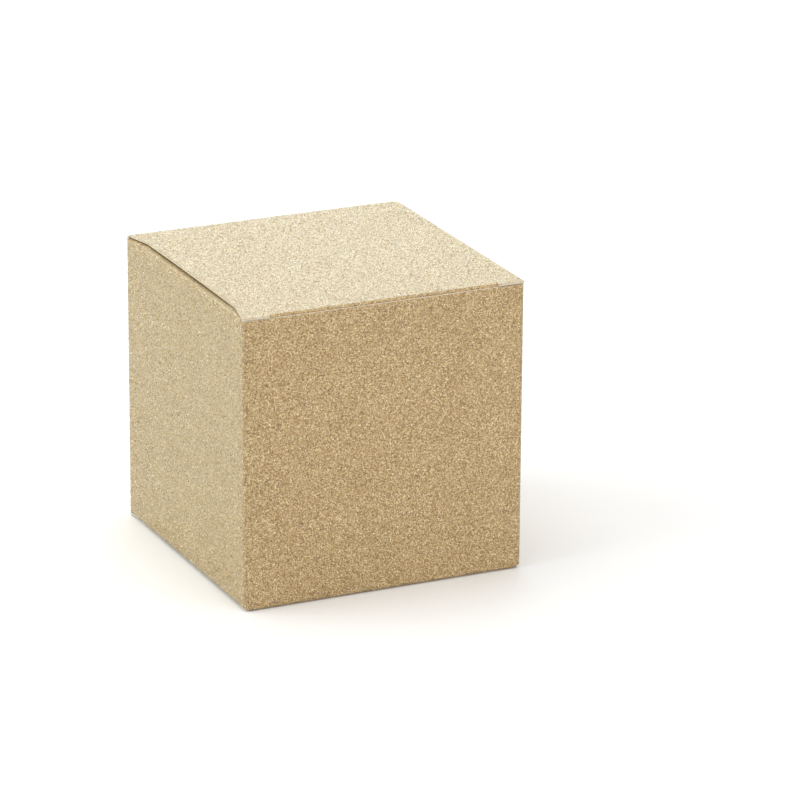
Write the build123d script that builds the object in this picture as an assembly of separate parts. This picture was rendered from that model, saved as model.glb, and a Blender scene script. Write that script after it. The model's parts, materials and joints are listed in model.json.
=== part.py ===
from build123d import *
import math
import os

# Favor box folded from one sheet of card, in millimetres, +Z up, origin at the middle of its base.
# The front wall faces -Y. The lid turns on the back wall and the base panel on the front wall.

# Outside of the closed box
box_width = 76.2
box_depth = 76.2
box_height = 76.2

# Card and its creases
card = 0.5  # thickness of the sheet
bead_radius = 0.4  # round bead that scoring raises along a crease
bead_neck = 1.0  # flat strip between a bead's axis and the panel that carries it
hinge_gap = 0.05  # between a bead and the panel that turns on it
corner_radius = 1.1  # outside of an upright fold

# Lid and base panel
lid_gap = 0.2  # between the lid and what lies under it
lid_inset = 0.1  # how far the lid's corners lie inside the walls' outer faces
lid_relief_back = 2.2  # how far the lid's left edge steps in beside the dust flap's fold, at the back
lid_relief_front = 2.1  # and behind its front corner
relief_taper = 8.0  # length over which the edge steps in at the lid's crease
shoulder_setback = 0.5  # how far the left front corner lies behind the lid's front edge
shoulder_taper = 10.0  # length over which the edge steps in behind that corner
slit_length = 7.0  # cut along the fold line at each end of the lid's front edge

# Tuck flap
tuck_length = 13.0  # from its crease to its free edge
tuck_corner_radius = 8.0
tuck_gap = 0.15  # between its fold and the wall that it slides behind
tuck_side_gap = 0.4  # between its side edges and the glue tab
slit_gap = 0.35  # between the lid's shoulder and the flap's ear below the slit
ear_gap = 0.1  # between the shoulder's inner end and the flap

# Dust flaps
flap_length = 33.0  # from the crease to the free edge
flap_setback = 2.0  # from the tuck crease to the flap's front edge
flap_front_taper = 3.0  # degrees
flap_back_relief = 1.0  # from the lid crease to the flap's back edge
flap_chamfer = 10.0  # 45 degree cut at the lid crease, so that the lid lifts clear of the flap
flap_back_taper = 15.0  # degrees, from the chamfer on
flap_corner_radius = 4.0

# Glued seam at the back right corner
tab_width = 12.0
tab_end_inset = 3.0  # from the box's top and base to the tab's ends, at its fold
tab_taper = 15.0  # degrees
glue_film = 0.1  # thickness
glue_width = 6.0
glue_end_inset = 9.0
seam_inset = 0.3  # how far the right wall's cut edge stops short of the back

# Planes and axes that the pieces share
half_width = box_width / 2
half_depth = box_depth / 2
leaf_start = bead_radius + hinge_gap  # from a crease's axis to the panel that turns on it
rim_height = box_height - card - lid_gap  # cut top edge of the front wall, top of the dust flaps
lid_axis_y = half_depth - bead_radius
lid_axis_z = box_height - bead_radius
tuck_axis_y = -half_depth + card + tuck_gap + bead_radius
flap_axis_x = half_width - bead_radius
flap_axis_z = rim_height - bead_radius
slit_x = half_width - slit_length
tab_face_x = half_width - card - glue_film  # outer face of the glue tab
wall_end_x = half_width - corner_radius
wall_end_y = half_depth - corner_radius

# The tuck flap leans in just enough for its tip to swing no wider than its fold when the lid lifts.
tuck_lean = math.degrees(math.asin(tuck_length / (2 * (lid_axis_y - tuck_axis_y))))


def block(x_span, y_span, z_span):
    spans = (x_span, y_span, z_span)
    middle = [(low + high) / 2 for low, high in spans]
    size = [high - low for low, high in spans]
    return Pos(*middle) * Box(*size)


def crease(middle, outward, toward_panel, length):
    # A round bead on a neck as thick as the card. The bead's axis is the crease's axis.
    plane = Plane(middle, x_dir=outward, z_dir=Vector(*outward).cross(Vector(*toward_panel)))
    neck = Pos(bead_radius - card / 2, bead_neck / 2) * Rectangle(card, bead_neck)
    return extrude(plane * (Circle(bead_radius) + neck), length / 2, both=True)


def upright_fold(x, y, turn, z_span):
    # A quarter of a ring about an upright axis at x, y.
    ring = Circle(corner_radius) - Circle(corner_radius - card)
    quadrant = Pos(corner_radius / 2, corner_radius / 2) * Rectangle(corner_radius, corner_radius)
    low, high = z_span
    return Pos(x, y, low) * Rot(0, 0, turn) * extrude(ring & quadrant, high - low)


def turned_over(piece):
    # Half a turn about the line across the box's middle puts a top piece in its place at the base.
    return Pos(0, 0, box_height / 2) * Rot(180, 0, 0) * Pos(0, 0, -box_height / 2) * piece


def walls():
    crease_foot = bead_radius + bead_neck
    flap_foot = flap_axis_z - bead_neck
    side_z = (box_height - flap_foot, flap_foot)
    front_z = (crease_foot, rim_height)
    back_z = (box_height - rim_height, box_height - crease_foot)
    return {
        "front_wall": block((-wall_end_x, wall_end_x), (-half_depth, card - half_depth), front_z),
        "back_wall": block(
            (-wall_end_x, tab_face_x - corner_radius), (half_depth - card, half_depth), back_z
        ),
        "left_wall": block((-half_width, card - half_width), (-wall_end_y, wall_end_y), side_z),
        "right_wall": block(
            (half_width - card, half_width), (-wall_end_y, half_depth - seam_inset), side_z
        ),
    }


def upright_folds():
    fold_z = (box_height - rim_height, rim_height)
    back_z = (box_height - rim_height, box_height - lid_gap)  # up to the end of the lid's crease
    tab_z = (tab_end_inset, box_height - tab_end_inset)
    return {
        "front_left_fold": upright_fold(-wall_end_x, -wall_end_y, 180, fold_z),
        "front_right_fold": upright_fold(wall_end_x, -wall_end_y, 270, fold_z),
        "back_left_fold": upright_fold(-wall_end_x, wall_end_y, 90, back_z),
        "glue_tab_fold": upright_fold(tab_face_x - corner_radius, wall_end_y, 0, tab_z),
    }


def glued_seam():
    free_y = wall_end_y - tab_width
    end_drop = tab_width * math.tan(math.radians(tab_taper))
    low = tab_end_inset
    high = box_height - tab_end_inset
    outline = Polygon(
        (wall_end_y, low),
        (wall_end_y, high),
        (free_y, high - end_drop),
        (free_y, low + end_drop),
        align=None,
    )
    glue_y = wall_end_y - tab_width / 2
    return {
        "glue_tab": extrude(Plane.YZ.offset(tab_face_x - card) * outline, card),
        "seam_glue": block(
            (tab_face_x, tab_face_x + glue_film),
            (glue_y - glue_width / 2, glue_y + glue_width / 2),
            (glue_end_inset, box_height - glue_end_inset),
        ),
    }


def lid():
    side = half_width - lid_inset
    fold_side = half_width - card - lid_gap  # inside the back left fold
    back = lid_axis_y - leaf_start
    front = -half_depth + lid_inset
    shoulder = front + shoulder_setback
    crease_foot = tuck_axis_y + bead_neck
    outline = Polygon(
        (slit_x, crease_foot),
        (slit_x, front),
        (side, front),
        (side, back - corner_radius),
        (wall_end_x, back),
        (-fold_side, back),
        (lid_relief_back - side, back - relief_taper),
        (lid_relief_front - side, shoulder + shoulder_taper),
        (-side, shoulder),
        (-slit_x, front),
        (-slit_x, crease_foot),
        align=None,
    )
    return Pos(0, 0, box_height - card) * extrude(outline, card)


def lid_tuck_crease():
    return crease((0, tuck_axis_y, lid_axis_z), (0, 0, 1), (0, 1, 0), 2 * slit_x)


def tuck_flap():
    # Drawn hanging from its axis, with the slits' ears a step lower, then leaned in.
    side = tab_face_x - card - tuck_side_gap
    neck = slit_x - ear_gap
    ear = bead_radius - card - slit_gap
    outline = Polygon(
        (-side, -tuck_length),
        (side, -tuck_length),
        (side, ear),
        (neck, ear),
        (neck, -leaf_start),
        (-neck, -leaf_start),
        (-neck, ear),
        (-side, ear),
        align=None,
    )
    outline = fillet(outline.vertices().sort_by(Axis.Y)[:2], tuck_corner_radius)
    hanging = extrude(Plane.XZ.offset(bead_radius - card) * outline, card)
    return Pos(0, tuck_axis_y, lid_axis_z) * Rot(tuck_lean, 0, 0) * hanging


def left_dust_flap():
    front = tuck_axis_y + flap_setback
    back = lid_axis_y - flap_back_relief
    chamfer_end = leaf_start + flap_chamfer
    front_rise = (flap_length - leaf_start) * math.tan(math.radians(flap_front_taper))
    back_drop = (flap_length - chamfer_end) * math.tan(math.radians(flap_back_taper))
    outline = Polygon(
        (leaf_start, front),
        (flap_length, front + front_rise),
        (flap_length, back - flap_chamfer - back_drop),
        (chamfer_end, back - flap_chamfer),
        (leaf_start, back),
        align=None,
    )
    outline = fillet(outline.vertices().sort_by(Axis.X)[-2:], flap_corner_radius)
    return Pos(-flap_axis_x, 0, rim_height - card) * extrude(outline, card)


def left_flap_crease():
    return crease((-flap_axis_x, 0, flap_axis_z), (-1, 0, 0), (0, 0, -1), 2 * wall_end_y)


def wall_crease(low_x, high_x):
    # The crease along the back wall's top, on which the lid turns.
    middle = ((low_x + high_x) / 2, lid_axis_y, lid_axis_z)
    return crease(middle, (0, 1, 0), (0, 0, -1), high_x - low_x)


def closures():
    flaps = {
        "left_dust_flap": left_dust_flap(),
        "right_dust_flap": mirror(left_dust_flap(), about=Plane.YZ),
        "left_flap_crease": left_flap_crease(),
        "right_flap_crease": mirror(left_flap_crease(), about=Plane.YZ),
    }
    pieces = {
        "lid": lid(),
        "lid_tuck_crease": lid_tuck_crease(),
        "lid_tuck_flap": tuck_flap(),
        "lid_crease": wall_crease(-wall_end_x, tab_face_x - corner_radius),
        "base_panel": turned_over(lid()),
        "base_tuck_crease": turned_over(lid_tuck_crease()),
        "base_tuck_flap": turned_over(tuck_flap()),
        "base_crease": turned_over(wall_crease(-wall_end_x, wall_end_x)),
    }
    for name, piece in flaps.items():
        pieces["top_" + name] = piece
        pieces["bottom_" + name] = turned_over(piece)
    return pieces


os.makedirs("parts", exist_ok=True)
for node, solid in {**walls(), **upright_folds(), **glued_seam(), **closures()}.items():
    export_step(solid, f"parts/{node}.step")
print("tuck flap leans in by", round(tuck_lean, 2), "degrees")
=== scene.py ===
import json
import math
import bmesh
import bpy
from mathutils import Matrix, Vector


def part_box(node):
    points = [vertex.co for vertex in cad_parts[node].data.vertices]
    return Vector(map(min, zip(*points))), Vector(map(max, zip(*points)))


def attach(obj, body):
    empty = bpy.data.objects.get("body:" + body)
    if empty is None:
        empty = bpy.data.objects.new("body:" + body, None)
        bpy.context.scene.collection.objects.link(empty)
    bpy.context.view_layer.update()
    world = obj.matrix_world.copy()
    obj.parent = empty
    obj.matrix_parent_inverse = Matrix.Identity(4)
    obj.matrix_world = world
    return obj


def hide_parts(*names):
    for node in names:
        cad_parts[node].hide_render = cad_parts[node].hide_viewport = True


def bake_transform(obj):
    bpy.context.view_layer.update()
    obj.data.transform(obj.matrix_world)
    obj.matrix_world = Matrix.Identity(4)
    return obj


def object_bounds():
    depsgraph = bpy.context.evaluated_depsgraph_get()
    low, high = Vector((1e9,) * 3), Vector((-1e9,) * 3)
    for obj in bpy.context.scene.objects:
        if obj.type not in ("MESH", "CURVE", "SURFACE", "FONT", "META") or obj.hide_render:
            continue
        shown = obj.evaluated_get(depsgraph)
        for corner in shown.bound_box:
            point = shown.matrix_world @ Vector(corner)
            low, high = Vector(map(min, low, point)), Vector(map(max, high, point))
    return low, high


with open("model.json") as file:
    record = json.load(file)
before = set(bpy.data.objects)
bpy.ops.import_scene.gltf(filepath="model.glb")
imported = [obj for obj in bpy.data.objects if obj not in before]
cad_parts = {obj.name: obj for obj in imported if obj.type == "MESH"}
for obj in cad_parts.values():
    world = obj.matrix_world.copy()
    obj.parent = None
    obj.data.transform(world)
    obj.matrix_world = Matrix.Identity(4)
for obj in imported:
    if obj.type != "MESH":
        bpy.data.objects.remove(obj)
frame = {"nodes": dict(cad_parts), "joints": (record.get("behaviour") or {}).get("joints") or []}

mm = 0.001
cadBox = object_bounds()
print("frame loaded,", len(frame["nodes"]), "nodes")

# sizes shared by the pieces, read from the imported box
axes = {joint["name"]: Vector(joint["pos_m"]) for joint in frame["joints"]}
halfWidth = cadBox[1].x
halfDepth = cadBox[1].y
boxHeight = cadBox[1].z
boxMiddle = Vector((0, 0, boxHeight / 2))
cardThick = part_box("front_wall")[1].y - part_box("front_wall")[0].y
axisInset = halfDepth - axes["lid_hinge"].y  # from a crease's axis to the outer faces
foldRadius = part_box("front_left_fold")[1].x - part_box("front_left_fold")[0].x  # outside of an upright fold
creaseRadius = 2 * axisInset  # outside of a fold that turns
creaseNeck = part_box("lid_crease")[1].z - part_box("lid_crease")[0].z - axisInset
leafStart = axes["lid_hinge"].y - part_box("lid")[1].y  # from a crease's axis to the panel that turns on it

east = Vector((1, 0, 0))
north = Vector((0, 1, 0))
up = Vector((0, 0, 1))


# materials

def newMaterial(name):
    material = bpy.data.materials.new(name)
    material.use_nodes = True
    return material, material.node_tree.nodes, material.node_tree.links


def addNode(nodes, kind, **settings):
    node = nodes.new(kind)
    for key, value in settings.items():
        setattr(node, key, value)
    return node


def setInputs(node, values):
    for key, value in values.items():
        node.inputs[key].default_value = value


def rampStops(ramp, stops):
    elements = ramp.color_ramp.elements
    while len(elements) < len(stops):
        elements.new(0.5)
    for element, (position, colour) in zip(elements, stops):
        element.position = position
        element.color = (*colour, 1)


def placeTextures(nodes, links, textures):
    place = addNode(nodes, "ShaderNodeTexCoord")
    for texture in textures:
        links.new(place.outputs["Object"], texture.inputs["Vector"])


glitterCoat = {
    "flakeSize": 0.2 * mm,  # cells of one tone
    "clumpSize": 1.1 * mm,
    "mottleSize": 14 * mm,
    "clumpContrast": 0.04,
    "mottleContrast": 0.04,
    "tilt": 0.65,  # how far a cell's normal leans
    "roughness": (0.25, 0.5),  # from cell to cell
    "metallic": 0.25,
    "ior": 1.5,
    "lacquer": 0.7,
    "lacquerRoughness": 0.3,
    "rippleSize": 0.25 * mm,  # in the lacquer
    "rippleTilt": 1.1,
    "sheen": 0.2,
    "sheenRoughness": 0.35,
    "sheenTint": (0.75, 1.0, 0.55),
    "foldPaintedShade": 0.93,  # painted shade: the upright folds' coat is darkened, as their rounded faces catch more light than the walls
    "tones": [
        (0.00, (0.16, 0.086, 0.024)),
        (0.30, (0.34, 0.217, 0.076)),
        (0.55, (0.46, 0.31, 0.128)),
        (0.80, (0.60, 0.43, 0.195)),
        (1.00, (0.94, 0.78, 0.48)),
    ],
}


def makeGlitter(name, shade=1.0):
    coat = glitterCoat
    material, nodes, links = newMaterial(name)
    shader = nodes["Principled BSDF"]
    setInputs(shader, {
        "Metallic": coat["metallic"],
        "IOR": coat["ior"],
        "Coat Weight": coat["lacquer"],
        "Coat Roughness": coat["lacquerRoughness"],
        "Sheen Weight": coat["sheen"],
        "Sheen Roughness": coat["sheenRoughness"],
        "Sheen Tint": (*coat["sheenTint"], 1),
    })
    flakes = addNode(nodes, "ShaderNodeTexVoronoi")
    ripples = addNode(nodes, "ShaderNodeTexVoronoi")
    clumps = addNode(nodes, "ShaderNodeTexNoise")
    mottle = addNode(nodes, "ShaderNodeTexNoise")
    setInputs(flakes, {"Scale": 1 / coat["flakeSize"]})
    setInputs(ripples, {"Scale": 1 / coat["rippleSize"]})
    setInputs(clumps, {"Scale": 1 / coat["clumpSize"], "Detail": 2})
    setInputs(mottle, {"Scale": 1 / coat["mottleSize"], "Detail": 3})
    placeTextures(nodes, links, (flakes, ripples, clumps, mottle))
    # each flake has one tone, lifted or dulled by the clump it lies in
    parts = addNode(nodes, "ShaderNodeSeparateColor")
    links.new(flakes.outputs["Color"], parts.inputs["Color"])
    tone = parts.outputs["Red"]
    for texture, contrast in ((clumps, coat["clumpContrast"]), (mottle, coat["mottleContrast"])):
        shift = addNode(nodes, "ShaderNodeMath", operation="MULTIPLY_ADD")
        total = addNode(nodes, "ShaderNodeMath", operation="ADD")
        setInputs(shift, {1: 2 * contrast, 2: -contrast})
        links.new(texture.outputs["Fac"], shift.inputs[0])
        links.new(tone, total.inputs[0])
        links.new(shift.outputs["Value"], total.inputs[1])
        tone = total.outputs["Value"]
    ramp = addNode(nodes, "ShaderNodeValToRGB")
    # a shade below 1 darkens every tone; the folds use it as painted shade
    rampStops(ramp, [(stop, [part * shade for part in colour]) for stop, colour in coat["tones"]])
    links.new(tone, ramp.inputs["Fac"])
    links.new(ramp.outputs["Color"], shader.inputs["Base Color"])
    rough = addNode(nodes, "ShaderNodeMapRange")
    setInputs(rough, {"To Min": coat["roughness"][0], "To Max": coat["roughness"][1]})
    links.new(parts.outputs["Green"], rough.inputs["Value"])
    links.new(rough.outputs["Result"], shader.inputs["Roughness"])
    # each flake leans its own way, and the lacquer over them ripples
    surface = addNode(nodes, "ShaderNodeNewGeometry")
    layers = [(flakes, coat["tilt"], "Normal"), (ripples, coat["rippleTilt"], "Coat Normal")]
    for cells, tilt, layer in layers:
        centred = addNode(nodes, "ShaderNodeVectorMath", operation="SUBTRACT")
        leaning = addNode(nodes, "ShaderNodeVectorMath", operation="MULTIPLY_ADD")
        unit = addNode(nodes, "ShaderNodeVectorMath", operation="NORMALIZE")
        setInputs(centred, {1: (0.5, 0.5, 0.5)})  # a cell's colour runs from 0 to 1
        setInputs(leaning, {1: (tilt, tilt, tilt)})
        links.new(cells.outputs["Color"], centred.inputs[0])
        links.new(centred.outputs["Vector"], leaning.inputs[0])
        links.new(surface.outputs["Normal"], leaning.inputs[2])
        links.new(leaning.outputs["Vector"], unit.inputs[0])
        links.new(unit.outputs["Vector"], shader.inputs[layer])
    return material


cardStock = {
    "fibreSize": 0.5 * mm,
    "cloudSize": 9 * mm,
    "fibreShare": 0.6,  # of the change in tone, the clouds have the rest
    "toneStops": (0.3, 0.7),
    "inside": ((0.70, 0.687, 0.656), (0.78, 0.77, 0.747)),
    "edge": ((0.66, 0.57, 0.44), (0.84, 0.76, 0.62)),
    "roughness": 0.8,
    "specular": 0.3,
    "bump": 0.02 * mm,
    "bumpStrength": 0.4,
}


def makeCard(name, tones):
    stock = cardStock
    material, nodes, links = newMaterial(name)
    shader = nodes["Principled BSDF"]
    setInputs(shader, {"Roughness": stock["roughness"], "Specular IOR Level": stock["specular"]})
    fibre = addNode(nodes, "ShaderNodeTexNoise")
    cloud = addNode(nodes, "ShaderNodeTexNoise")
    setInputs(fibre, {"Scale": 1 / stock["fibreSize"], "Detail": 4, "Distortion": 1.5})
    setInputs(cloud, {"Scale": 1 / stock["cloudSize"], "Detail": 2})
    placeTextures(nodes, links, (fibre, cloud))
    cloudPart = addNode(nodes, "ShaderNodeMath", operation="MULTIPLY")
    setInputs(cloudPart, {1: 1 - stock["fibreShare"]})
    links.new(cloud.outputs["Fac"], cloudPart.inputs[0])
    mix = addNode(nodes, "ShaderNodeMath", operation="MULTIPLY_ADD")
    setInputs(mix, {1: stock["fibreShare"]})
    links.new(fibre.outputs["Fac"], mix.inputs[0])
    links.new(cloudPart.outputs["Value"], mix.inputs[2])
    ramp = addNode(nodes, "ShaderNodeValToRGB")
    rampStops(ramp, list(zip(stock["toneStops"], tones)))
    links.new(mix.outputs["Value"], ramp.inputs["Fac"])
    links.new(ramp.outputs["Color"], shader.inputs["Base Color"])
    bump = addNode(nodes, "ShaderNodeBump")
    setInputs(bump, {"Strength": stock["bumpStrength"], "Distance": stock["bump"]})
    links.new(fibre.outputs["Fac"], bump.inputs["Height"])
    links.new(bump.outputs["Normal"], shader.inputs["Normal"])
    return material


flakeTones = {
    "flakePale": (1.0, 0.93, 0.72),
    "flakeGold": (0.70, 0.51, 0.26),
    "flakeHoney": (0.52, 0.35, 0.15),
    "flakeBronze": (0.26, 0.155, 0.055),
}
flakeFinish = {"Metallic": 0.6, "Roughness": 0.28}


def makeFlakeMaterial(name, colour):
    material, nodes, _ = newMaterial(name)
    setInputs(nodes["Principled BSDF"], {"Base Color": (*colour, 1), **flakeFinish})
    return material


driedGlue = {
    "streakSize": 1.5 * mm,
    "toneStops": (0.35, 0.65),
    "tones": ((0.82, 0.80, 0.72), (0.93, 0.92, 0.87)),
    "roughness": 0.4,
}


def makeGlue():
    material, nodes, links = newMaterial("driedGlue")
    shader = nodes["Principled BSDF"]
    setInputs(shader, {"Roughness": driedGlue["roughness"]})
    streaks = addNode(nodes, "ShaderNodeTexNoise")
    setInputs(streaks, {"Scale": 1 / driedGlue["streakSize"], "Detail": 3})
    placeTextures(nodes, links, (streaks,))
    ramp = addNode(nodes, "ShaderNodeValToRGB")
    rampStops(ramp, list(zip(driedGlue["toneStops"], driedGlue["tones"])))
    links.new(streaks.outputs["Fac"], ramp.inputs["Fac"])
    links.new(ramp.outputs["Color"], shader.inputs["Base Color"])
    return material


frame["nodes"]["seam_glue"].material_slots[0].material = makeGlue()
glitter = makeGlitter("goldGlitterCoat")
# the upright folds get a darker copy of the coat, as painted shade
foldGlitterPaintedShade = makeGlitter("goldGlitterFoldPaintedShade", glitterCoat["foldPaintedShade"])
flakeMaterials = [makeFlakeMaterial(name, colour) for name, colour in flakeTones.items()]
cardInside = makeCard("plainCardInside", cardStock["inside"])
cardEdge = makeCard("cutCardEdge", cardStock["edge"])
# a card piece's slots: outer face, inner face, cut core, coat at the cut
outerSlot, innerSlot, coreSlot, coatSlot = range(4)
cardSlots = [glitter, cardInside, cardEdge, glitter]
paintedShadeFoldSlots = [foldGlitterPaintedShade, cardInside, cardEdge, foldGlitterPaintedShade]  # for the upright folds, whose coat carries painted shade
print("materials made")


# glitter flakes that stand out of the coat
flakeScatter = {
    "Density": 2.4e6,  # per square metre
    "Width": 0.33 * mm,
    "Thickness": 0.03 * mm,
    "Tilt": math.radians(54),
    "Sink": 0.02 * mm,
}
flakeForm = {
    "sides": 4,
    "topRadius": 0.42,  # in widths
    "footRadius": 0.5,
    "sizes": (0.7, 1.15),  # smallest and largest, times the width
    "seedShifts": {"lean": 11, "size": 23, "tone": 37},
}


def makeFlakeTree():
    tree = bpy.data.node_groups.new("glitterFlakes", "GeometryNodeTree")
    nodes, links = tree.nodes, tree.links
    tree.interface.new_socket("Panel", in_out="INPUT", socket_type="NodeSocketGeometry")
    tree.interface.new_socket("Flakes", in_out="OUTPUT", socket_type="NodeSocketGeometry")
    for name in flakeScatter:
        tree.interface.new_socket(name, in_out="INPUT", socket_type="NodeSocketFloat")
    tree.interface.new_socket("Seed", in_out="INPUT", socket_type="NodeSocketInt")
    for name in flakeTones:
        tree.interface.new_socket(name, in_out="INPUT", socket_type="NodeSocketMaterial")
    given = addNode(nodes, "NodeGroupInput").outputs
    result = addNode(nodes, "NodeGroupOutput")

    def scaled(source, factor):
        product = addNode(nodes, "ShaderNodeMath", operation="MULTIPLY")
        setInputs(product, {1: factor})
        links.new(source, product.inputs[0])
        return product.outputs["Value"]

    def equals(source, number):
        check = addNode(nodes, "FunctionNodeCompare", data_type="INT", operation="EQUAL")
        setInputs(check, {3: number})  # inputs 2 and 3 are the whole numbers
        links.new(source, check.inputs[2])
        return check.outputs["Result"]

    def randomOf(kind, use):
        value = addNode(nodes, "FunctionNodeRandomValue", data_type=kind)
        seed = addNode(nodes, "ShaderNodeMath", operation="ADD")
        setInputs(seed, {1: flakeForm["seedShifts"][use]})
        links.new(given["Seed"], seed.inputs[0])
        links.new(seed.outputs["Value"], value.inputs["Seed"])
        return value

    # points on the outer face only
    slot = addNode(nodes, "GeometryNodeInputMaterialIndex")
    points = addNode(nodes, "GeometryNodeDistributePointsOnFaces")
    links.new(given["Panel"], points.inputs["Mesh"])
    links.new(equals(slot.outputs["Material Index"], outerSlot), points.inputs["Selection"])
    links.new(given["Density"], points.inputs["Density"])
    links.new(given["Seed"], points.inputs["Seed"])
    sinking = addNode(nodes, "ShaderNodeVectorMath", operation="SCALE")
    links.new(points.outputs["Normal"], sinking.inputs["Vector"])
    links.new(scaled(given["Sink"], -1), sinking.inputs["Scale"])
    sunk = addNode(nodes, "GeometryNodeSetPosition")
    links.new(points.outputs["Points"], sunk.inputs["Geometry"])
    links.new(sinking.outputs["Vector"], sunk.inputs["Offset"])
    # one square flake, a little smaller on top
    flake = addNode(nodes, "GeometryNodeMeshCone", fill_type="NGON")
    setInputs(flake, {"Vertices": flakeForm["sides"]})
    links.new(scaled(given["Width"], flakeForm["topRadius"]), flake.inputs["Radius Top"])
    links.new(scaled(given["Width"], flakeForm["footRadius"]), flake.inputs["Radius Bottom"])
    links.new(given["Thickness"], flake.inputs["Depth"])
    # each flake is turned and leans its own way
    low = addNode(nodes, "ShaderNodeCombineXYZ")
    high = addNode(nodes, "ShaderNodeCombineXYZ")
    setInputs(high, {"Z": 2 * math.pi})
    for axis in ("X", "Y"):
        links.new(scaled(given["Tilt"], -1), low.inputs[axis])
        links.new(given["Tilt"], high.inputs[axis])
    lean = randomOf("FLOAT_VECTOR", "lean")
    links.new(low.outputs["Vector"], lean.inputs[0])
    links.new(high.outputs["Vector"], lean.inputs[1])
    leanTurn = addNode(nodes, "FunctionNodeEulerToRotation")
    turn = addNode(nodes, "FunctionNodeRotateRotation", rotation_space="LOCAL")
    links.new(lean.outputs[0], leanTurn.inputs["Euler"])
    links.new(points.outputs["Rotation"], turn.inputs["Rotation"])
    links.new(leanTurn.outputs["Rotation"], turn.inputs["Rotate By"])
    size = randomOf("FLOAT", "size")
    smallest, largest = flakeForm["sizes"]
    setInputs(size, {2: smallest, 3: largest})
    flakes = addNode(nodes, "GeometryNodeInstanceOnPoints")
    links.new(sunk.outputs["Geometry"], flakes.inputs["Points"])
    links.new(flake.outputs["Mesh"], flakes.inputs["Instance"])
    links.new(turn.outputs["Rotation"], flakes.inputs["Rotation"])
    links.new(size.outputs[1], flakes.inputs["Scale"])
    # one tone to each flake
    tone = randomOf("INT", "tone")
    setInputs(tone, {4: 0, 5: len(flakeTones) - 1})
    toned = addNode(nodes, "GeometryNodeStoreNamedAttribute", data_type="INT", domain="INSTANCE")
    setInputs(toned, {"Name": "tone"})
    links.new(flakes.outputs["Instances"], toned.inputs["Geometry"])
    links.new(tone.outputs[2], toned.inputs["Value"])
    realized = addNode(nodes, "GeometryNodeRealizeInstances")
    links.new(toned.outputs["Geometry"], realized.inputs["Geometry"])
    made = realized.outputs["Geometry"]
    stored = addNode(nodes, "GeometryNodeInputNamedAttribute", data_type="INT")
    setInputs(stored, {"Name": "tone"})
    for index, name in enumerate(flakeTones):
        paint = addNode(nodes, "GeometryNodeSetMaterial")
        links.new(made, paint.inputs["Geometry"])
        links.new(equals(stored.outputs["Attribute"], index), paint.inputs["Selection"])
        links.new(given[name], paint.inputs["Material"])
        made = paint.outputs["Geometry"]
    links.new(made, result.inputs["Flakes"])
    return tree


flakeTree = makeFlakeTree()


def scatterFlakes(card, node):
    carrier = bpy.data.objects.new("flakeCarrier", card.data)
    bpy.context.scene.collection.objects.link(carrier)
    modifier = carrier.modifiers.new("glitterFlakes", "NODES")
    modifier.node_group = flakeTree
    seed = sorted(frame["nodes"]).index(node)
    values = dict(flakeScatter, Seed=seed, **dict(zip(flakeTones, flakeMaterials)))
    for item in flakeTree.interface.items_tree:
        if item.in_out == "INPUT" and item.name in values:
            modifier[item.identifier] = values[item.name]
    evaluated = carrier.evaluated_get(bpy.context.evaluated_depsgraph_get())
    mesh = bpy.data.meshes.new_from_object(evaluated)
    bpy.data.objects.remove(carrier)
    flakes = bpy.data.objects.new(node + "_glitter", mesh)
    bpy.context.scene.collection.objects.link(flakes)
    return flakes


# card pieces
sharpAngle = math.radians(35)  # a steeper turn between two faces is a sharp edge


def finishPiece(name, points, faces, slots, node, materials):
    mesh = bpy.data.meshes.new(name)
    mesh.from_pydata([tuple(point) for point in points], [], faces)
    for material in materials:
        mesh.materials.append(material)
    mesh.polygons.foreach_set("material_index", slots)
    bm = bmesh.new()
    bm.from_mesh(mesh)
    bmesh.ops.recalc_face_normals(bm, faces=bm.faces)
    bm.to_mesh(mesh)
    bm.free()
    mesh.shade_smooth()
    mesh.set_sharp_from_angle(angle=sharpAngle)
    piece = bpy.data.objects.new(name, mesh)
    bpy.context.scene.collection.objects.link(piece)
    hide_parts(node)
    return piece


panelMake = {
    "cell": 5 * mm,  # of the grid
    "coat": 0.1 * mm,  # thickness of the coat at a cut edge
    "weld": 0.001 * mm,
    "facing": 0.001,  # how far normals may differ within one flat side
}


def outerFace(node, outward):
    # the node's outer side as one flat face, cut into a grid so that it can bow
    bm = bmesh.new()
    bm.from_mesh(frame["nodes"][node].data)
    bmesh.ops.remove_doubles(bm, verts=bm.verts, dist=panelMake["weld"])
    bm.normal_update()
    facing = max(face.normal.dot(outward) for face in bm.faces) - panelMake["facing"]
    others = [face for face in bm.faces if face.normal.dot(outward) < facing]
    bmesh.ops.delete(bm, geom=others, context="FACES")
    bmesh.ops.dissolve_faces(bm, faces=bm.faces)
    bm.faces.ensure_lookup_table()
    normal = bm.faces[0].normal.copy()
    facesSideways = abs(normal.dot(east)) >= 0.5
    across = north if facesSideways else east
    for axis in (across, normal.cross(across)):
        reach = [vert.co.dot(axis) for vert in bm.verts]
        low, high = min(reach), max(reach)
        count = math.ceil((high - low) / panelMake["cell"])
        for step in range(1, count):
            cut = axis * (low + (high - low) * step / count)
            everything = bm.verts[:] + bm.edges[:] + bm.faces[:]
            bmesh.ops.bisect_plane(bm, geom=everything, plane_co=cut, plane_no=axis)
    bm.verts.index_update()
    return bm, normal


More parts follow.
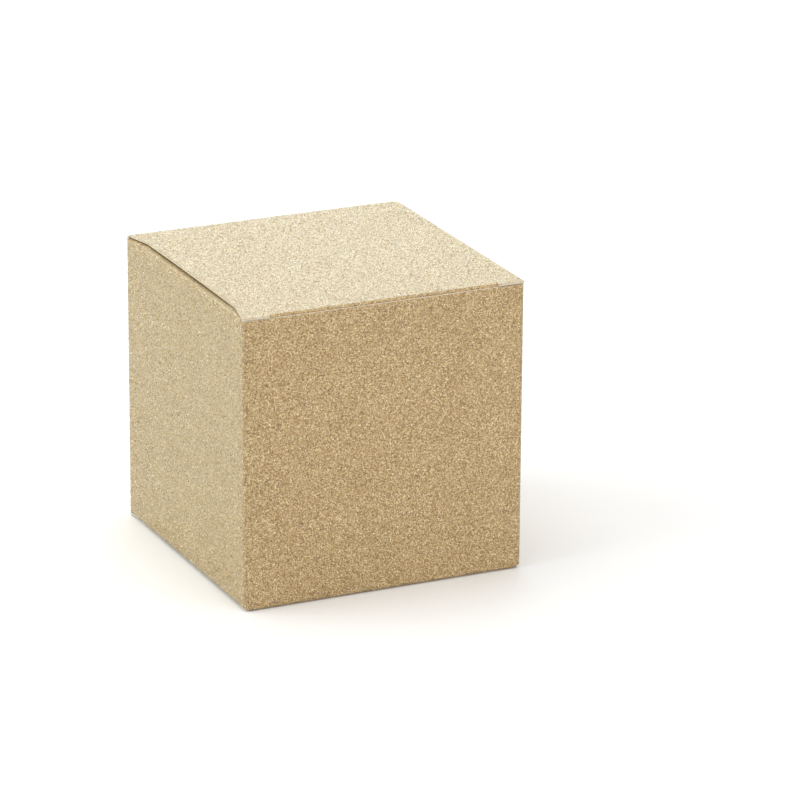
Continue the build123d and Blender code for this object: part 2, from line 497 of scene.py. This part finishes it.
def cardPanel(node, outward, body, shape=None):
    bm, normal = outerFace(node, outward)
    outer = [vert.co.copy() for vert in bm.verts]
    count = len(outer)
    points = outer + [point - normal * cardThick for point in outer]
    faces = [[vert.index for vert in face.verts] for face in bm.faces]
    slots = [outerSlot] * len(faces)
    faces += [[index + count for index in reversed(face)] for face in faces]
    slots += [innerSlot] * (len(faces) - len(slots))
    # the cut edge, with the coat's own thin band beside the outer face
    ring = {}
    for loop in (loop for face in bm.faces for loop in face.loops if loop.edge.is_boundary):
        a, b = loop.vert.index, loop.link_loop_next.vert.index
        for index in (a, b):
            if index not in ring:
                ring[index] = len(points)
                points.append(outer[index] - normal * panelMake["coat"])
        faces.append([a, ring[a], ring[b], b])
        faces.append([ring[a], a + count, b + count, ring[b]])
        slots += [coatSlot, coreSlot]
    bm.free()
    if shape:
        points = [shape(point) for point in points]
    panel = finishPiece(node + "_card", points, faces, slots, node, cardSlots)
    for piece in (panel, scatterFlakes(panel, node)):
        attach(piece, body)


foldMake = {"arcSteps": 10, "lengthSteps": 16}


def foldStrip(node, corner, outward, onward, along, radius, materials, lean=0.0, flats=True):
    # drawn flat: x runs inwards from the parent's outer face, y back from the fold along the parent
    turn = math.pi / 2 + lean
    normalEnd = Vector((-math.cos(turn), -math.sin(turn)))
    runEnd = Vector((math.sin(turn), -math.cos(turn)))
    axis = Vector((axisInset, axisInset))
    centreY = (axis.dot(normalEnd) + axisInset - radius - radius * normalEnd.x) / normalEnd.y
    centre = Vector((radius, centreY))
    outer, inner = [], []
    for step in range(foldMake["arcSteps"] + 1):
        angle = turn * step / foldMake["arcSteps"]
        ray = Vector((-math.cos(angle), -math.sin(angle)))
        outer.append(centre + ray * radius)
        inner.append(centre + ray * (radius - cardThick))
    arcEnds = outer[0], outer[-1]
    if flats:
        # short flat strips join the arc to the two panels
        reach = axisInset + creaseNeck
        outer.insert(0, Vector((0, reach)))
        inner.insert(0, Vector((cardThick, reach)))
        outer.append(axis + normalEnd * axisInset + runEnd * leafStart)
        inner.append(axis + normalEnd * (axisInset - cardThick) + runEnd * leafStart)

    def placed(flat, reach):
        return corner - outward * flat.x - onward * flat.y + along * reach

    low, high = (end.dot(along) - corner.dot(along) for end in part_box(node))
    loop = outer + inner[::-1]
    size, half = len(loop), len(outer)
    steps = foldMake["lengthSteps"]
    points = [placed(flat, low + (high - low) * step / steps) for step in range(steps + 1) for flat in loop]
    faces, slots = [], []
    for step in range(steps):
        for index in range(size):
            after = (index + 1) % size
            near, far = step * size, (step + 1) * size
            faces.append([near + index, near + after, far + after, far + index])
            isEnd = index in (half - 1, size - 1)
            slots.append(coreSlot if isEnd else outerSlot if index < half else innerSlot)
    for start in (0, steps * size):
        for index in range(half - 1):
            outerEdge = [start + index, start + index + 1]
            innerEdge = [start + size - 2 - index, start + size - 1 - index]
            faces.append(outerEdge + innerEdge)
            slots.append(coreSlot)
    piece = finishPiece(node + "_card", points, faces, slots, node, materials)
    return piece, [placed(end, (low + high) / 2) for end in arcEnds]


def turningFold(node, corner, outward, onward, along, lean=0.0):
    strip, (start, end) = foldStrip(node, corner, outward, onward, along, creaseRadius, cardSlots, lean)
    for piece in (strip, scatterFlakes(strip, node)):
        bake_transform(piece)


def fixedFold(node, corner, outward, onward):
    strip, _ = foldStrip(node, corner, outward, onward, up, foldRadius, paintedShadeFoldSlots, flats=False)
    for piece in (strip, scatterFlakes(strip, node)):
        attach(piece, "wall_tube")


# walls and their upright folds
walls = {"front_wall": -north, "back_wall": north, "left_wall": -east, "right_wall": east, "glue_tab": east}
for node, outward in walls.items():
    cardPanel(node, outward, "wall_tube")
tabCorner = Vector((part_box("glue_tab_fold")[1].x, halfDepth, 0))
fixedFold("front_left_fold", Vector((-halfWidth, -halfDepth, 0)), -east, -north)
fixedFold("front_right_fold", Vector((halfWidth, -halfDepth, 0)), east, -north)
fixedFold("back_left_fold", Vector((-halfWidth, halfDepth, 0)), -east, north)
fixedFold("glue_tab_fold", tabCorner, east, north)
print("walls folded")

# lid and base, each with its tuck flap and dust flaps
tuckFace = axes["lid_tuck_hinge"].y - axisInset  # outer face of the tuck flap at its fold
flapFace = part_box("top_left_dust_flap")[1].z  # outer face of the top dust flaps
tuckNormals = [face.normal for face in frame["nodes"]["lid_tuck_flap"].data.polygons]
tuckLean = math.asin(abs(max(tuckNormals, key=(-north).dot).z))  # from the slope of its outer face
lidCurl = {
    "reach": 29 * mm,  # in from the left edge
    "height": 0.33 * mm,  # of the left edge's lift
    "towardsBack": 0.8,  # below 1, the lift is highest behind the middle
    "press": 0.13 * mm,  # how far the edge is down at its front end
    "pressFrom": 0.72,  # of the edge's length
}


def curledLid(point):
    low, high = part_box("lid")
    inFromEdge = (point.x - low.x) / lidCurl["reach"]
    along = (high.y - point.y) / (high.y - low.y)
    if inFromEdge > 1:
        return point
    pressed = max(0, (along - lidCurl["pressFrom"]) / (1 - lidCurl["pressFrom"]))
    lift = lidCurl["height"] * math.sin(math.pi * along ** lidCurl["towardsBack"])
    drop = lidCurl["press"] * math.sin(math.pi / 2 * pressed)
    return point + up * (lift - drop) * (1 - inFromEdge) ** 2


closures = {
    "top": {
        "panel": "lid", "panelNode": "lid", "shape": curledLid,
        "tuck": "lid_tuck", "crease": "lid_crease", "side": 1,
    },
    "bottom": {
        "panel": "base", "panelNode": "base_panel", "shape": None,
        "tuck": "base_tuck", "crease": "base_crease", "side": -1,
    },
}
for end, parts in closures.items():
    side = parts["side"]
    face = boxHeight if side > 0 else 0
    flapLevel = flapFace if side > 0 else boxHeight - flapFace
    cardPanel(parts["panelNode"], up * side, parts["panel"], parts["shape"])
    cardPanel(parts["tuck"] + "_flap", -north * side, parts["tuck"])
    turningFold(parts["crease"],
                Vector((0, halfDepth * side, face)), north * side, up * side, east)
    turningFold(parts["tuck"] + "_crease",
                Vector((0, tuckFace * side, face)), up * side, -north * side, east, tuckLean)
    for hand, outward in (("left", -east), ("right", east)):
        flap = end + "_" + hand + "_dust_flap"
        body = end + "_" + hand + "_flap"
        cardPanel(flap, up * side, body)
        turningFold(body + "_crease",
                    Vector((outward.x * halfWidth, 0, flapLevel)), outward, up * side, north)
print("closures folded, tuck flaps lean in by", round(math.degrees(tuckLean), 2), "degrees")


# stage, light and camera
white = (1, 1, 1, 1)


def seenRays(nodes, links):
    # 1 for the rays that show the background, directly, in a reflection or through something
    path = addNode(nodes, "ShaderNodeLightPath")
    seen = path.outputs["Is Camera Ray"]
    for kind in ("Is Glossy Ray", "Is Transmission Ray"):
        either = addNode(nodes, "ShaderNodeMath", operation="MAXIMUM")
        links.new(seen, either.inputs[0])
        links.new(path.outputs[kind], either.inputs[1])
        seen = either.outputs["Value"]
    return seen


paleFloor = {"side": 6, "below": 0.2 * mm, "colour": (0.86, 0.86, 0.86), "roughness": 0.9}


def makeStage():
    bpy.ops.mesh.primitive_plane_add(size=paleFloor["side"], location=(0, 0, -paleFloor["below"]))
    floor = bpy.context.object
    floor.name = "paleFloor"
    material, nodes, links = newMaterial("paleFloor")
    shader = nodes["Principled BSDF"]
    setInputs(shader, {"Roughness": paleFloor["roughness"], "Specular IOR Level": 0.0})
    mix = addNode(nodes, "ShaderNodeMix", data_type="RGBA")
    setInputs(mix, {6: (*paleFloor["colour"], 1), 7: white})  # inputs 6 and 7 are the colours
    links.new(seenRays(nodes, links), mix.inputs[0])
    links.new(mix.outputs[2], shader.inputs["Base Color"])
    floor.data.materials.append(material)


skyLight = {"colour": (1.0, 1.0, 1.0), "strength": 0.6}


def makeWorld():
    world = bpy.data.worlds.new("studio")
    world.use_nodes = True
    bpy.context.scene.world = world
    nodes, links = world.node_tree.nodes, world.node_tree.links
    sky = nodes["Background"]
    setInputs(sky, {"Color": (*skyLight["colour"], 1), "Strength": skyLight["strength"]})
    backdrop = addNode(nodes, "ShaderNodeBackground")
    setInputs(backdrop, {"Color": white, "Strength": 1.0})
    mix = addNode(nodes, "ShaderNodeMixShader")
    links.new(seenRays(nodes, links), mix.inputs["Fac"])
    links.new(sky.outputs["Background"], mix.inputs[1])
    links.new(backdrop.outputs["Background"], mix.inputs[2])
    links.new(mix.outputs["Shader"], nodes["World Output"].inputs["Surface"])


softboxes = {
    "overhead": {"place": (-0.1, 0.1, 1.1), "size": 0.8, "power": 3.8, "colour": (1.0, 1.0, 1.0)},
    "left": {"place": (-1.2, 0.3, 0.7), "size": 1.4, "power": 10.0, "colour": (0.94, 1.0, 0.94)},
    "front": {"place": (0.6, -1.35, 0.6), "size": 1.4, "power": 7.0, "colour": (1.0, 0.91, 0.87)},
    "back": {"place": (0.7, 1.5, 0.75), "size": 1.0, "power": 6.1, "colour": (0.84, 0.97, 1.0)},
}


def makeSoftboxes():
    for name, lamp in softboxes.items():
        data = bpy.data.lights.new(name + "Softbox", "AREA")
        data.size = lamp["size"]
        data.energy = lamp["power"]
        data.color = lamp["colour"]
        softbox = bpy.data.objects.new(name + "Softbox", data)
        bpy.context.scene.collection.objects.link(softbox)
        place = Vector(lamp["place"])
        turn = (boxMiddle - place).to_track_quat("-Z", "Y").to_matrix().to_4x4()
        softbox.matrix_world = Matrix.Translation(place) @ turn


photoCamera = {
    "azimuth": -25.17,  # degrees, from straight in front
    "elevation": 19.23,
    "roll": 0.4,
    "distance": 1232.3 * mm,  # to the box's middle
    "right": -21.28 * mm,  # of the box's middle from the picture's
    "above": 1.48 * mm,
    "focalPixels": 4833.6,
    "imageSide": 812,
    "sensorWidth": 36,
    "clip": (0.01, 20),  # nearest and farthest, in metres
}


def makeCamera():
    view = photoCamera
    azimuth, elevation, roll = (math.radians(view[key]) for key in ("azimuth", "elevation", "roll"))
    level = math.cos(elevation)
    back = Vector((math.sin(azimuth) * level, -math.cos(azimuth) * level, math.sin(elevation)))
    levelRight = (-back).cross(up).normalized()
    levelAbove = levelRight.cross(-back)
    right = levelRight * math.cos(roll) + levelAbove * math.sin(roll)
    above = levelAbove * math.cos(roll) - levelRight * math.sin(roll)
    data = bpy.data.cameras.new("photoCamera")
    data.sensor_width = view["sensorWidth"]
    data.lens = view["focalPixels"] * data.sensor_width / view["imageSide"]
    data.clip_start, data.clip_end = view["clip"]
    camera = bpy.data.objects.new("photoCamera", data)
    bpy.context.scene.collection.objects.link(camera)
    place = boxMiddle + back * view["distance"]
    place = place - right * view["right"] - above * view["above"]
    turn = Matrix((right, above, back)).transposed().to_4x4()
    camera.matrix_world = Matrix.Translation(place) @ turn
    bpy.context.scene.camera = camera


makeStage()
makeWorld()
makeSoftboxes()
makeCamera()
bpy.context.scene.view_settings.view_transform = "Standard"
print("stage set")
